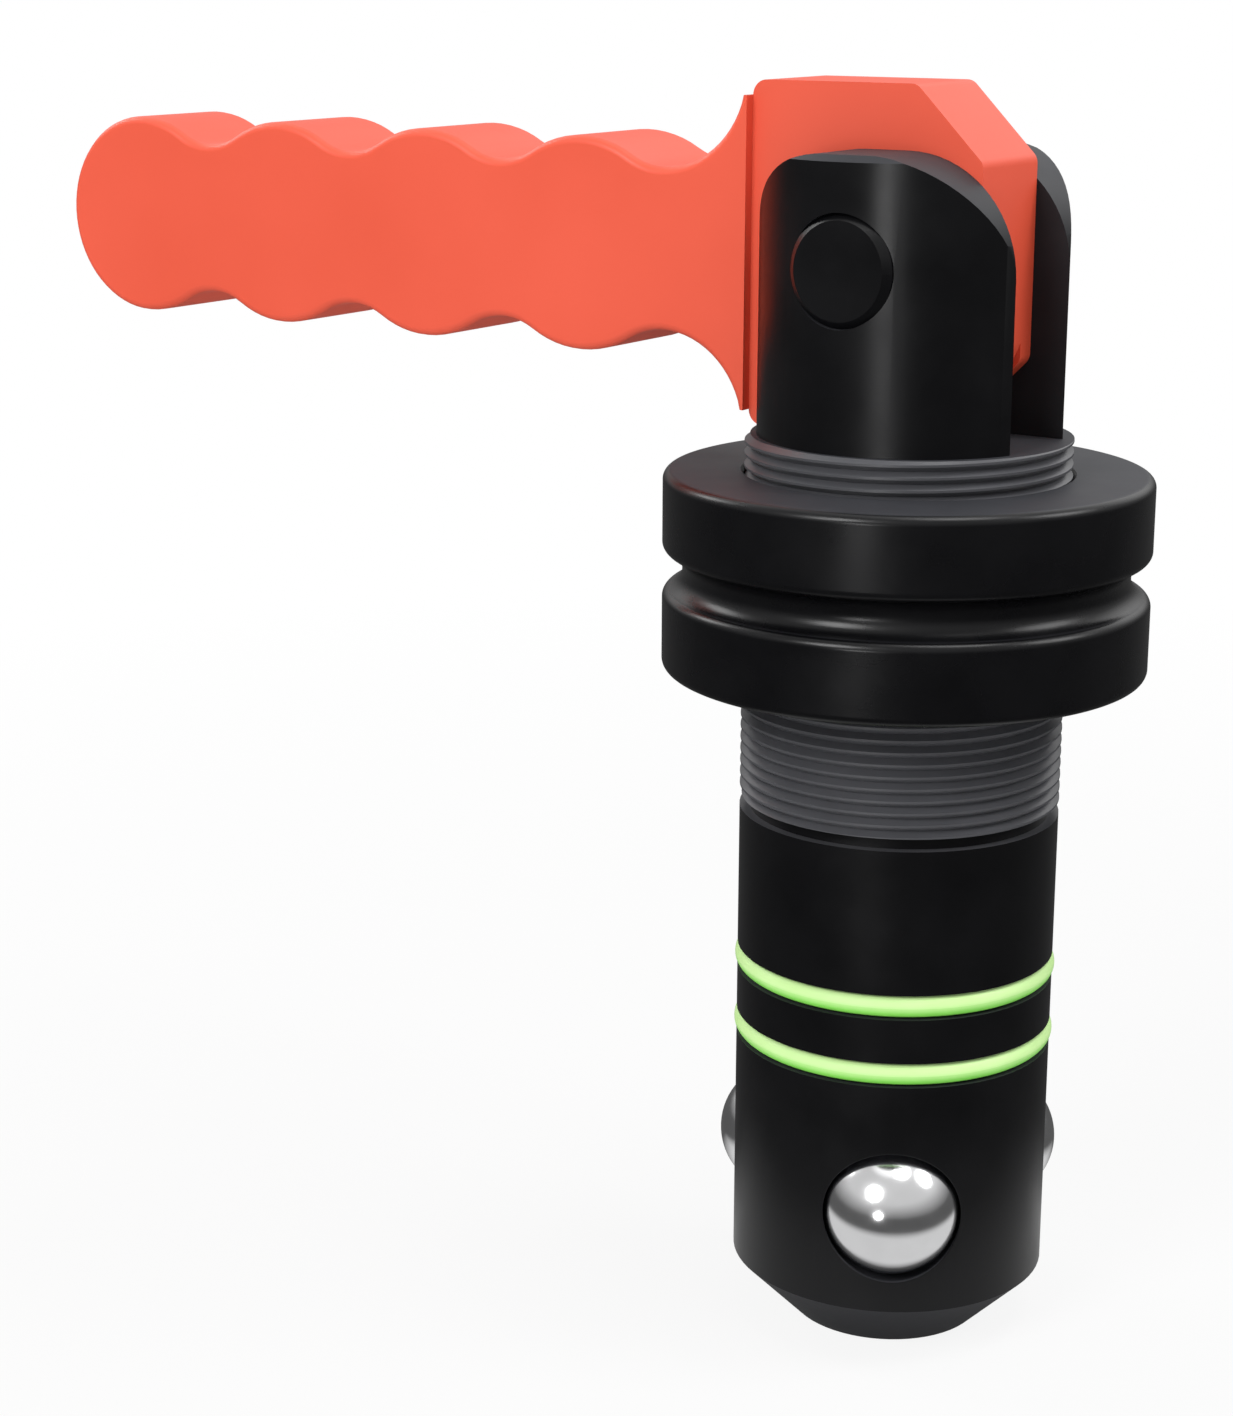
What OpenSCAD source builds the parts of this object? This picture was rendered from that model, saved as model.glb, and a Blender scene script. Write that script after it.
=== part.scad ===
// Quick-release clamping bolt for 28 mm bores.
// The lever's cam head presses a push rod down, and the rod's cone spreads three balls
// under the workpiece. The ring nut on the fine thread sets the clamping height.
// Frame: origin in the middle of the flat tip, +Z up the bolt, lever towards -X,
// pivot pin along Y. Millimetres. Drawn with the lever down and the balls out.

/* [Shank] */
// Diameter of the plain shank that enters the bore
shank_d = 28; // [26:0.5:34]
// Length of the shank from the tip face to the shoulder under the thread
shank_len = 47.5; // [44:0.5:70]
// Size of the 45 degree cone at the tip
tip_cone = 5.4; // [2:0.1:5.6]

/* [Seal rings] */
// Thickness of a rubber ring
seal_t = 2; // [1.5:0.1:2.5]
// How far a ring stands out of the shank
seal_stand = 0.2; // [0.1:0.05:0.25]
// Play of a ring along its groove
seal_play = 0.2; // [0.1:0.05:0.6]
// Room between a ring and the floor of its groove
seal_floor_gap = 0.05; // [0.02:0.01:0.1]
// Depth of the upper ring below the shoulder
seal_depth = 13.9; // [6:0.1:16]
// Distance between the two rings
seal_pitch = 6.15; // [3:0.05:7]

/* [Thread] */
// Outside diameter of the thread
thread_d = 28; // [27:0.5:34]
// Length of the thread from the shoulder to the top face
thread_len = 33; // [28:0.5:60]
// Pitch of the thread
thread_pitch = 1.05; // [0.75:0.05:2]
// Depth of the thread grooves
thread_depth = 0.6; // [0.3:0.05:0.9]
// Flat left on each thread crest
thread_crest = 0.2; // [0.1:0.05:0.3]
// Height of the relief between shoulder and thread
relief_h = 1.1; // [0.5:0.1:3]
// Depth of the relief
relief_depth = 0.85; // [0.7:0.05:1.5]

/* [Fork] */
// Diameter of the fork across both ears
fork_d = 26; // [24:0.5:28]
// Height of the ears above the slot floor
fork_h = 24.2; // [22:0.1:32]
// Width of the slot between the ears
slot_w = 10; // [8.5:0.1:12]
// Radius of the ears' upper corners, seen from the side
ear_corner_r = 10; // [4:0.5:11]
// Chamfer turned on the ears' top edge
ear_chamfer = 0.55; // [0.2:0.05:1]
// Least room between the turning head and the slot floor
floor_gap = 0.2; // [0.1:0.05:2]

/* [Pivot pin] */
// Diameter of the pivot pin
pin_d = 9.4; // [7:0.1:11]
// How far each end of the pin stands out of the fork
pin_stand = 0; // [-0.5:0.1:0.5]
// Chamfer on each end of the pin
pin_chamfer = 0.6; // [0.2:0.1:1]
// Running clearance of the lever on the pin, on the radius
pin_play = 0.05; // [0.02:0.01:0.1]

/* [Lever] */
// Thickness of the grip
grip_t = 12; // [10.5:0.5:16]
// Clearance of the head in the slot, each side
head_play = 0.05; // [0.03:0.01:0.1]
// Room between the fork's ears and the step where the grip begins
step_gap = 1; // [0.8:0.1:3]
// Distance from the pivot to the cam face that presses the rod
cam_low = 14.6; // [13:0.05:14.75]
// Distance from the pivot to the cam face that lets the rod rise
cam_high = 8.7; // [8:0.1:10]
// Size of the corner cut between the two cam faces
cam_corner = 6.2; // [5.5:0.1:7]
// Radius of the edges between the head's flat faces
head_edge_r = 1.2; // [0.5:0.1:2]
// Length of the flat between the step and the grip's flare
shoulder_len = 0.6; // [0.3:0.05:3]
// Radius of the flare between that flat and the first finger hollow
flare_r = 8.2; // [7:0.1:9]
// Distance from one finger hollow to the next
finger_pitch = 17.35; // [15:0.05:20]
// Number of finger hollows
finger_count = 4; // [2:1:5]
// Half height of the grip at a hollow
hollow_half_h = 7.05; // [6:0.05:8]
// Half height of the grip between two hollows
ridge_half_h = 9.42; // [9:0.02:11]
// Radius of the grip's outline between two hollows
ridge_r = 10.4; // [9.5:0.1:12]
// Radius of the head's corners beside the grip
shoulder_r = 1.3; // [0.5:0.1:2]

/* [Ring nut] */
// Outside diameter of the ring nut
nut_d = 42; // [36:0.5:60]
// Height of the ring nut
nut_h = 17.4; // [10:0.1:18]
// Height of the nut's underside above the shoulder
nut_rest = 12.5; // [2:0.5:13]
// Radius of the round groove in the nut's rim
nut_groove_r = 1.75; // [1:0.05:3]
// Radius of the nut's outer edges
nut_edge_r = 0.85; // [0.4:0.05:1.5]
// Radius of the two lips of the groove
nut_lip_r = 0.85; // [0.2:0.05:1.2]
// Chamfer at both ends of the nut's bore
nut_bore_chamfer = 0.25; // [0.1:0.05:1.5]
// Clearance between the nut's bore and the thread crests, on the radius
nut_play = 0.06; // [0.03:0.01:0.1]

/* [Balls] */
// Diameter of a ball
ball_d = 12; // [11:0.1:12.4]
// Clearance of a ball in its hole, on the radius
ball_play = 0.25; // [0.1:0.05:0.4]
// Height of the balls above the tip face
ball_z = 14.2; // [13.5:0.1:18]
// How far a ball stands out of the shank with the lever down
ball_stand = 2.9; // [2.4:0.05:3.1]
// How far a ball lies below the shank's surface with the lever up
ball_sink = 0.15; // [0.05:0.05:0.3]
// Thickness of the rim that holds a ball in its hole
rim_t = 0.3; // [0.2:0.05:0.6]
// How far that rim is narrower than the ball, on the radius
rim_hold = 0.05; // [0.02:0.01:0.15]

/* [Push rod] */
// Diameter of the rod's stem
stem_d = 8; // [7:0.1:9]
// Diameter of the round nose under the cam
nose_d = 6; // [4:0.1:6.6]
// Height of the nose's neck above the stem
neck_h = 5; // [4:0.5:8]
// How far the cone reaches below the balls' height with the lever down
cone_below = 3.8; // [3.5:0.1:4.5]
// How far the cone reaches above the balls' height with the lever down
cone_above = 3.1; // [2.9:0.1:4]
// Length of the guide above the cone
guide_len = 10; // [6:0.5:14]
// Clearance between the rod and the cam, and between the cone and the balls
rod_gap = 0.05; // [0.03:0.01:0.15]
// Running clearance of the rod in its bores, on the radius
rod_play = 0.05; // [0.02:0.01:0.1]
// Room left above the guide when the lever is up
guide_room = 0.5; // [0.3:0.1:2]

/* [End plug and spring] */
// How far the plug is wider than the bore of the rod's guide, on the radius
plug_step = 0.85; // [0.5:0.05:1.5]
// Length of the plug
plug_len = 6; // [5:0.1:6.5]
// Diameter of the two spanner holes in the plug
spanner_hole_d = 1.8; // [1.5:0.1:2.2]
// Distance between the two spanner holes
spanner_pitch = 8; // [7.5:0.1:8.5]
// Depth of the spanner holes
spanner_depth = 2.5; // [1.5:0.1:3]
// Depth of the spring's seat in the plug
seat_depth = 2; // [1:0.1:2.2]
// Diameter of the spring wire
wire_d = 0.6; // [0.4:0.05:0.7]
// Room between the spring and the balls when they are drawn in
spring_gap = 0.13; // [0.05:0.01:0.4]
// Number of turns of the spring
spring_turns = 6; // [4:0.5:6]
// Room around the spring in its seat, and at each of its ends
spring_room = 0.1; // [0.05:0.05:0.3]

/* [Hidden] */
$fn = 96;

eps = 0.01;
// How far a cut runs past the face that it opens
over = 1;
// How far a rounding circle reaches past the face that it runs into, so that the two cross
bite = 0.0002;
black_steel = [0.09, 0.09, 0.10];
orange_red = [0.93, 0.36, 0.26];
seal_green = [0.62, 0.88, 0.45];
bright_steel = [0.75, 0.75, 0.77];

shank_r = shank_d / 2;
thread_r = thread_d / 2;
fork_r = fork_d / 2;
floor_z = shank_len + thread_len;
ear_half_w = sqrt(fork_r * fork_r - slot_w * slot_w / 4);
pin_len = fork_d + 2 * pin_stand;

// The rounded edge below the head comes nearest to the slot floor as the lever turns
cam_edge_x = cam_high - cam_corner;
cam_edge_z = cam_low - cam_corner;
half_bend = 22.5;
head_bend = head_edge_r * tan(half_bend);
head_reach = norm([cam_edge_x - head_bend, cam_low - head_edge_r]) + head_edge_r;
pivot_z = floor_z + head_reach + floor_gap;
top_z = floor_z + fork_h;

// The lever turns through a right angle, so the rod travels from one cam face to the other
lever_turn = 90;
rod_travel = cam_low - cam_high;
rod_per_degree = rod_travel / lever_turn;
rod_per_radian = rod_per_degree * 180 / PI;

// The cone has the slope at which rod and balls stay in touch over the whole travel
ball_r = ball_d / 2;
ball_out = shank_r + ball_stand - ball_r;
ball_in = shank_r - ball_sink - ball_r;
cone_slope = (ball_out - ball_in) / rod_travel;
cone_angle = atan(cone_slope);
cone_r_at_balls = ball_out - (ball_r + rod_gap) / cos(cone_angle);
cone_end_z = ball_z - cone_below;
cone_end_r = cone_r_at_balls - cone_below * cone_slope;
guide_z = ball_z + cone_above;
guide_r = cone_r_at_balls + cone_above * cone_slope;
guide_top_z = guide_z + guide_len;
guide_bore_top_z = guide_top_z + rod_travel + guide_room;
ball_hole_r = ball_r + ball_play;
ball_angles = [-60, 60, 180];

nose_r = nose_d / 2;
nose_top_z = pivot_z - cam_low - rod_gap;
nose_z = nose_top_z - nose_r;
neck_z = nose_z - neck_h;
shoulder_h = (stem_d - nose_d) / 2;

head_t = slot_w - 2 * head_play;
ridge_rise = ridge_half_h - hollow_half_h;
half_pitch = finger_pitch / 2;
hollow_r = (half_pitch * half_pitch + ridge_rise * ridge_rise) / (2 * ridge_rise) - ridge_r;
step_x = ear_half_w + step_gap;
shoulder_z = cam_low - shoulder_r;
flare_z = hollow_half_h + flare_r;
flare_reach = sqrt(flare_r * flare_r - pow(flare_z - shoulder_z, 2));
first_hollow_x = step_x + shoulder_len + flare_reach;
// Height at which the arcs of a ridge and of a hollow run into each other
blend_half_h = ridge_half_h - ridge_rise * ridge_r / (ridge_r + hollow_r);
last_ridge_x = first_hollow_x + (finger_count - 0.5) * finger_pitch;

guide_bore_r = guide_r + rod_play;
plug_r = guide_bore_r + plug_step;
seat_z = plug_len - seat_depth;
spring_d = 2 * (ball_in - ball_r - spring_gap);
spring_mid_r = (spring_d - wire_d) / 2;
spring_low_z = seat_z + spring_room + wire_d / 2;
spring_high_z = cone_end_z - spring_room - wire_d / 2;

seal_mid_r = shank_r + seal_stand - seal_t / 2;
seal_zs = [shank_len - seal_depth, shank_len - seal_depth - seal_pitch];

// Bolt body

// A row of V grooves of the thread's pitch, on the half section
module thread_grooves() {
    groove_half_w = (thread_pitch - thread_crest) / 2;
    first_z = shank_len + relief_h + thread_pitch / 2;
    count = floor((thread_len - relief_h) / thread_pitch);
    for (i = [0 : count - 1])
        translate([thread_r, first_z + i * thread_pitch])
            polygon([
                [-thread_depth, 0],
                [eps, -groove_half_w - eps],
                [eps, groove_half_w + eps]
            ]);
}

module body_section() {
    difference() {
        union() {
            polygon([
                [0, 0],
                [shank_r - tip_cone, 0],
                [shank_r, tip_cone],
                [shank_r, shank_len],
                [0, shank_len]
            ]);
            translate([0, shank_len - eps])
                square([thread_r - relief_depth, relief_h + 2 * eps]);
            translate([0, shank_len + relief_h])
                square([thread_r, thread_len - relief_h]);
            polygon([
                [0, floor_z - eps],
                [fork_r, floor_z - eps],
                [fork_r, top_z - ear_chamfer],
                [fork_r - ear_chamfer, top_z],
                [0, top_z]
            ]);
        }
        thread_grooves();
        for (z = seal_zs)
            translate([seal_mid_r - seal_t / 2 - seal_floor_gap, z - seal_t / 2 - seal_play / 2])
                square([shank_r, seal_t + seal_play]);
    }
}

// Everything outside the ears' rounded outline, seen along the pin
module ear_corners() {
    for (side = [-1, 1])
        translate([side * (ear_half_w - ear_corner_r), 0, top_z - ear_corner_r])
            rotate([90, 0, 0])
                linear_extrude(fork_d + 2 * over, center = true)
                    difference() {
                        translate([side > 0 ? 0 : -2 * ear_corner_r, 0])
                            square([2 * ear_corner_r, 2 * ear_corner_r]);
                        circle(ear_corner_r);
                    }
}

module rod_bores() {
    translate([0, 0, guide_bore_top_z - eps])
        cylinder(d = stem_d + 2 * rod_play, h = floor_z - guide_bore_top_z + over);
    translate([0, 0, plug_len - eps])
        cylinder(r = guide_bore_r, h = guide_bore_top_z - plug_len + eps);
    translate([0, 0, -over])
        cylinder(r = plug_r, h = plug_len + over);
}

// A ball hole with a thin rim left standing at the shank's surface
module ball_hole() {
    intersection() {
        rotate([0, 90, 0])
            cylinder(r = ball_hole_r, h = shank_d);
        translate([0, 0, -ball_d])
            cylinder(r = shank_r - rim_t, h = 2 * ball_d);
    }
    rotate([0, 90, 0])
        cylinder(r = ball_r - rim_hold, h = shank_d);
}

module bolt_body() {
    color(black_steel)
        difference() {
            rotate_extrude()
                body_section();
            translate([-fork_d, -slot_w / 2, floor_z])
                cube([2 * fork_d, slot_w, fork_h + over]);
            ear_corners();
            translate([0, 0, pivot_z])
                rotate([90, 0, 0])
                    cylinder(d = pin_d, h = fork_d + 2 * over, center = true);
            rod_bores();
            for (a = ball_angles)
                translate([0, 0, ball_z])
                    rotate([0, 0, a])
                        ball_hole();
        }
}

// Ring nut

// The corner of a square outside a quarter circle; sx and sz say which corner it is
module corner_waste(x, z, sx, sz, r) {
    translate([x, z])
        difference() {
            translate([sx > 0 ? -r : -eps, sz > 0 ? -r : -eps])
                square(r + eps);
            translate([-sx * r, -sz * r])
                circle(r);
        }
}

// The corner between the groove and the rim, outside a circle that touches both
module lip_waste(side) {
    rise = side * sqrt(pow(nut_groove_r + nut_lip_r - bite, 2) - pow(nut_lip_r, 2));
    difference() {
        polygon([[0, 0], [over, 0], [over, rise], [-nut_lip_r, rise]]);
        translate([-nut_lip_r, rise])
            circle(nut_lip_r);
    }
}

module nut_section() {
    bore_r = thread_r + nut_play;
    outer_r = nut_d / 2;
    difference() {
        translate([bore_r, 0])
            square([outer_r - bore_r, nut_h]);
        translate([outer_r, nut_h / 2]) {
            circle(nut_groove_r);
            for (side = [-1, 1])
                lip_waste(side);
        }
        for (side = [-1, 1]) {
            corner_waste(outer_r, nut_h / 2 + side * nut_h / 2, 1, side, nut_edge_r);
            translate([bore_r, nut_h / 2 + side * nut_h / 2])
                rotate(45)
                    square(nut_bore_chamfer * sqrt(2), center = true);
        }
    }
}

module ring_nut() {
    color(black_steel)
        translate([0, 0, shank_len + nut_rest])
            rotate_extrude()
                nut_section();
}

// Lever, drawn flat with the pivot at the origin

// The corner outside a round edge, where two flats meet at 45 degrees; it points along the angle
module bend_waste(x, z, angle, r) {
    translate([x, z])
        rotate(angle)
            difference() {
                polygon((r + eps) * [
                    [0, 0],
                    [cos(half_bend), -sin(half_bend)],
                    [1 / cos(half_bend), 0],
                    [cos(half_bend), sin(half_bend)]
                ]);
                circle(r + bite);
            }
}

module head_outline() {
    difference() {
        polygon([
            [-step_x, -cam_low],
            [cam_edge_x, -cam_low],
            [cam_high, -cam_edge_z],
            [cam_high, cam_edge_z],
            [cam_edge_x, cam_low],
            [-step_x, cam_low]
        ]);
        for (side = [-1, 1]) {
            corner_waste(-step_x, side * cam_low, -1, side, shoulder_r);
            bend_waste(
                cam_edge_x - head_bend, side * (cam_low - head_edge_r), side * 3 * half_bend, head_edge_r
            );
            bend_waste(
                cam_high - head_edge_r, side * (cam_edge_z - head_bend), side * half_bend, head_edge_r
            );
        }
    }
}

// One ridge between two hollows: the lens between its upper and its lower arc
module ridge(x) {
    translate([-x, 0])
        intersection_for (side = [-1, 1])
            translate([0, side * (ridge_half_h - ridge_r)])
                circle(ridge_r);
}

module grip_outline() {
    difference() {
        union() {
            translate([-last_ridge_x, -blend_half_h])
                square([last_ridge_x - first_hollow_x + eps, 2 * blend_half_h]);
            translate([-first_hollow_x, -shoulder_z])
                square([first_hollow_x - step_x + eps, 2 * shoulder_z]);
            intersection() {
                for (i = [0 : finger_count - 1])
                    ridge(first_hollow_x + (i + 0.5) * finger_pitch);
                translate([-last_ridge_x, -ridge_half_h])
                    square([last_ridge_x - first_hollow_x, 2 * ridge_half_h]);
            }
            translate([-last_ridge_x, 0])
                circle(ridge_half_h);
        }
        for (i = [0 : finger_count - 1], side = [-1, 1])
            translate([-first_hollow_x - i * finger_pitch, side * (hollow_half_h + hollow_r)])
                circle(hollow_r);
        for (side = [-1, 1])
            translate([-first_hollow_x, side * flare_z])
                intersection() {
                    circle(flare_r);
                    translate([0, -flare_r])
                        square(2 * flare_r);
                }
    }
}

module lever_outline() {
    head_outline();
    grip_outline();
}

// The path of the rod's nose, seen from the turning lever: the cam track lies along it
function nose_distance(turn) = cam_low + rod_gap + nose_r - rod_per_degree * turn;
function track_point(turn) =
    let (r = nose_distance(turn))
    let (along = [sin(turn), -cos(turn)], across = [cos(turn), sin(turn)])
    let (inward = -(r * along + rod_per_radian * across) / norm([r, rod_per_radian]))
    r * along + (nose_r + rod_gap) * inward;

module cam_track() {
    step = 3;
    reach = 3 * cam_low;
    polygon(concat(
        [for (turn = [-step : step : lever_turn]) track_point(turn)],
        [[reach, 0], [reach, -reach], [0, -reach]]
    ));
}

module lever() {
    color(orange_red)
        translate([0, 0, pivot_z])
            rotate([90, 0, 0])
                difference() {
                    union() {
                        linear_extrude(head_t, center = true)
                            lever_outline();
                        linear_extrude(grip_t, center = true)
                            intersection() {
                                lever_outline();
                                translate([-last_ridge_x - 2 * ridge_half_h, -2 * cam_low])
                                    square([last_ridge_x + 2 * ridge_half_h - step_x, 4 * cam_low]);
                            }
                    }
                    cylinder(d = pin_d + 2 * pin_play, h = grip_t, center = true);
                    linear_extrude(nose_d + 2 * rod_gap, center = true)
                        cam_track();
                }
}

module pivot_pin() {
    color(black_steel)
        translate([0, 0, pivot_z])
            rotate([90, 0, 0])
                rotate_extrude()
                    polygon([
                        [0, -pin_len / 2],
                        [pin_d / 2 - pin_chamfer, -pin_len / 2],
                        [pin_d / 2, pin_chamfer - pin_len / 2],
                        [pin_d / 2, pin_len / 2 - pin_chamfer],
                        [pin_d / 2 - pin_chamfer, pin_len / 2],
                        [0, pin_len / 2]
                    ]);
}

// Push rod, spring and plug

module push_rod() {
    color(bright_steel)
        rotate_extrude()
            union() {
                polygon([
                    [0, cone_end_z],
                    [cone_end_r, cone_end_z],
                    [guide_r, guide_z],
                    [guide_r, guide_top_z],
                    [stem_d / 2, guide_top_z],
                    [stem_d / 2, neck_z - shoulder_h],
                    [nose_r, neck_z],
                    [nose_r, nose_z],
                    [0, nose_z]
                ]);
                intersection() {
                    translate([0, nose_z])
                        circle(nose_r);
                    translate([0, nose_z - eps])
                        square(nose_d);
                }
            }
}

module return_spring() {
    sides = 8;
    steps_per_turn = 16;
    steps = spring_turns * steps_per_turn;
    rise = spring_high_z - spring_low_z;
    points = [
        for (i = [0 : steps], k = [0 : sides - 1])
            let (turn = 360 * i / steps_per_turn, around = 360 * k / sides)
            let (r = spring_mid_r + wire_d / 2 * cos(around))
            [
                r * cos(turn),
                r * sin(turn),
                spring_low_z + rise * i / steps + wire_d / 2 * sin(around)
            ]
    ];
    walls = [
        for (i = [0 : steps - 1], k = [0 : sides - 1])
            let (a = i * sides + k, b = i * sides + (k + 1) % sides)
            [a, a + sides, b + sides, b]
    ];
    low_end = [for (k = [0 : sides - 1]) k];
    high_end = [for (k = [sides - 1 : -1 : 0]) steps * sides + k];
    color(bright_steel)
        polyhedron(points, concat(walls, [low_end, high_end]));
}

module end_plug() {
    color(black_steel)
        difference() {
            cylinder(r = plug_r, h = plug_len);
            for (side = [-1, 1])
                translate([side * spanner_pitch / 2, 0, -over])
                    cylinder(d = spanner_hole_d, h = spanner_depth + over);
            translate([0, 0, seat_z])
                cylinder(d = spring_d + 2 * spring_room, h = seat_depth + over);
        }
}

// Balls and seal rings

module ball(angle) {
    color(bright_steel)
        rotate([0, 0, angle])
            translate([ball_out, 0, ball_z])
                sphere(d = ball_d);
}

module front_ball() { ball(ball_angles[0]); }
module right_ball() { ball(ball_angles[1]); }
module left_ball() { ball(ball_angles[2]); }

module seal(z) {
    color(seal_green)
        translate([0, 0, z])
            rotate_extrude()
                translate([seal_mid_r, 0])
                    circle(d = seal_t);
}

module upper_seal() { seal(seal_zs[0]); }
module lower_seal() { seal(seal_zs[1]); }

bolt_body();
ring_nut();
lever();
pivot_pin();
push_rod();
return_spring();
end_plug();
front_ball();
right_ball();
left_ball();
upper_seal();
lower_seal();
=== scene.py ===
# %% [markdown]
# # A quick-release clamping bolt
# The bolt goes through a bore of a welding table. Its lever presses a rod down, the rod's cone
# spreads three balls under the table, and the ring nut clamps from above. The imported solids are
# the fixed frame: they say where each piece sits and how it moves. This script dresses them. It
# makes finer copies of four pieces, gives every piece its finish, and sets up camera and light.

# %% Load the frame
import math

import bmesh
import bpy
from mathutils import Matrix, Vector, kdtree


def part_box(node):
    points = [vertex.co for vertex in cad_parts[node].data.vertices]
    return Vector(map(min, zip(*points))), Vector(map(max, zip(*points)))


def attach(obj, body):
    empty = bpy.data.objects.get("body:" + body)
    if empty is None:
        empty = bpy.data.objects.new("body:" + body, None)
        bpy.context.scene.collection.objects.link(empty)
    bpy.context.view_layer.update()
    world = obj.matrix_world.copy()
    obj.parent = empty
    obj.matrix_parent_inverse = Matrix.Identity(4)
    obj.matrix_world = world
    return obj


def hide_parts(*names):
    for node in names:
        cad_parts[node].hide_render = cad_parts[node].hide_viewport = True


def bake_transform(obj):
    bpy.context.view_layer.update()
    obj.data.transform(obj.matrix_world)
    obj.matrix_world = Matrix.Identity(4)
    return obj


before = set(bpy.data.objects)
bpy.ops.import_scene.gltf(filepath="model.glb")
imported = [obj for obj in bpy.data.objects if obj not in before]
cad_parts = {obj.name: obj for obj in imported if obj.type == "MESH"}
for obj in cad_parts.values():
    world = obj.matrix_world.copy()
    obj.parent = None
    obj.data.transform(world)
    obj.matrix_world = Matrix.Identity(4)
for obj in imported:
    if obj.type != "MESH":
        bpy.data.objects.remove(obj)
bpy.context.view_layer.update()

MM = 0.001

# %% [markdown]
# ## Camera
# The camera stands where the photograph was taken from. It could be placed by eye, but circles and
# straight edges of the object give its place, direction and lens much better, so these are plain
# numbers here. The small shift moves the middle of the picture off the lens axis.

# %% Camera
EYE = Vector((113.4, -213.35, 120.19)) * MM
FORWARD = Vector((-0.5485, 0.7978, -0.2504))
camera_data = bpy.data.cameras.new("photo_camera")
camera_data.sensor_width = 36.0
camera_data.lens = 72.1
camera_data.shift_x = 0.0203
camera_data.shift_y = -0.0143
camera_data.clip_start = 0.01
camera_data.clip_end = 20.0
camera = bpy.data.objects.new("photo_camera", camera_data)
camera.location = EYE
camera.rotation_euler = FORWARD.to_track_quat("-Z", "Y").to_euler()
bpy.context.scene.collection.objects.link(camera)
bpy.context.scene.camera = camera
print("camera distance in mm:", round(EYE.length / MM, 1))

# %% [markdown]
# ## A copy of a solid
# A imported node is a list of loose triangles, which no bevel can work on. A copy of it is merged
# first. Then the triangles of each flat are joined to one face, so that its outer edges can be
# picked and rounded as on a mesh that was made by hand.

# %% Copy of a node
TINY = 0.002 * MM
MERGE_DIST = 0.0005 * MM
FLAT_ANGLE = math.radians(0.4)


def copy_of_node(name, merge=MERGE_DIST):
    """A bmesh with the node's shape, its vertices merged and its flat triangles joined."""
    bm = bmesh.new()
    bm.from_mesh(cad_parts[name].data)
    bmesh.ops.remove_doubles(bm, verts=bm.verts, dist=merge)
    bmesh.ops.dissolve_limit(
        bm, angle_limit=FLAT_ANGLE, verts=bm.verts, edges=bm.edges,
        use_dissolve_boundaries=False, delimit=set())
    bm.normal_update()
    return bm


print("nodes that can be copied:", len(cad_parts))

# %% [markdown]
# ## Smooth shading
# A round wall is a ring of flats, and its normals make it look round. Plain smooth shading averages
# all faces at a corner, which bends the light on a flat next to a fillet. Two helpers do better.
# The first weighs the faces by their area, so that large flats stay flat. The second takes the true
# normals of the solid where a corner lies on one of its points.

# %% Normals
SMOOTH_LIMIT = math.cos(math.radians(32))
NORMAL_DIGITS = 3


def weighted_normals(mesh):
    """One normal for each face corner: the mean of the faces that run on smoothly, by area."""
    around = [[] for _ in mesh.vertices]
    for face in mesh.polygons:
        for index in face.vertices:
            around[index].append(face)
    normals = [None] * len(mesh.loops)
    for face in mesh.polygons:
        for corner in face.loop_indices:
            total = Vector()
            for other in around[mesh.loops[corner].vertex_index]:
                if other.normal.dot(face.normal) > SMOOTH_LIMIT:
                    total += other.normal * other.area
            normals[corner] = total.normalized()
    return normals


def keep_exact_normals(mesh, normals, node_name):
    """Where a corner lies on a point of the solid, the mean of that point's normals takes over."""
    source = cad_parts[node_name].data
    exact = [Vector(corner.vector) for corner in source.corner_normals]
    points = kdtree.KDTree(len(source.loops))
    for loop in source.loops:
        points.insert(source.vertices[loop.vertex_index].co, loop.index)
    points.balance()
    for face in mesh.polygons:
        for corner in face.loop_indices:
            place = mesh.vertices[mesh.loops[corner].vertex_index].co
            found = points.find_range(place, TINY)
            distinct = {exact[index].to_tuple(NORMAL_DIGITS) for _, index, _ in found}
            near = [Vector(n) for n in distinct if face.normal.dot(n) > SMOOTH_LIMIT]
            if near:
                normals[corner] = sum(near, Vector()).normalized()


print("faces run on smoothly up to, in degrees:", round(math.degrees(math.acos(SMOOTH_LIMIT))))

# %% [markdown]
# ## From bmesh to piece
# Each new piece becomes an object at the origin with its place in its mesh, like a imported node. It
# rides on a body of the part when one is given, so that it moves with it, and stands for the nodes
# that it replaces.

# %% New piece
def new_piece(bm, name, body, slot, *nodes, exact=False):
    """Turns a bmesh into a smooth-shaded object that rides on a body and stands for nodes."""
    bmesh.ops.recalc_face_normals(bm, faces=bm.faces)
    mesh = bpy.data.meshes.new(name)
    bm.to_mesh(mesh)
    bm.free()
    mesh.shade_smooth()
    normals = weighted_normals(mesh)
    for node_name in nodes if exact else ():
        keep_exact_normals(mesh, normals, node_name)
    mesh.normals_split_custom_set(normals)
    piece = bpy.data.objects.new(name, mesh)
    bpy.context.scene.collection.objects.link(piece)
    if body:
        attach(piece, body)
    if nodes:
        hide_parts(*nodes)
    print(name, "faces:", len(mesh.polygons))
    return piece


# %% [markdown]
# ## Bolt body: the bar
# The real body is one turned bar: shank, thread and fork. The solid carries a row of plain rings in
# place of its thread. A real thread is one groove that winds up the bar, so the rings are taken out
# of a copy, and the top face is trimmed to the core. A displacement could only paint a thread, and
# would show as a plain edge in the outline.

# %% Cut the rings out of the bar
THREAD_LOW = 48.6 * MM
THREAD_HIGH = 80.5 * MM
THREAD_R = 14.0 * MM
ROOT_R = 13.4 * MM
CORE_R = 13.3 * MM
RING_INSIDE_R = 13.1 * MM
RIM_SLACK = 0.1 * MM


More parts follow.
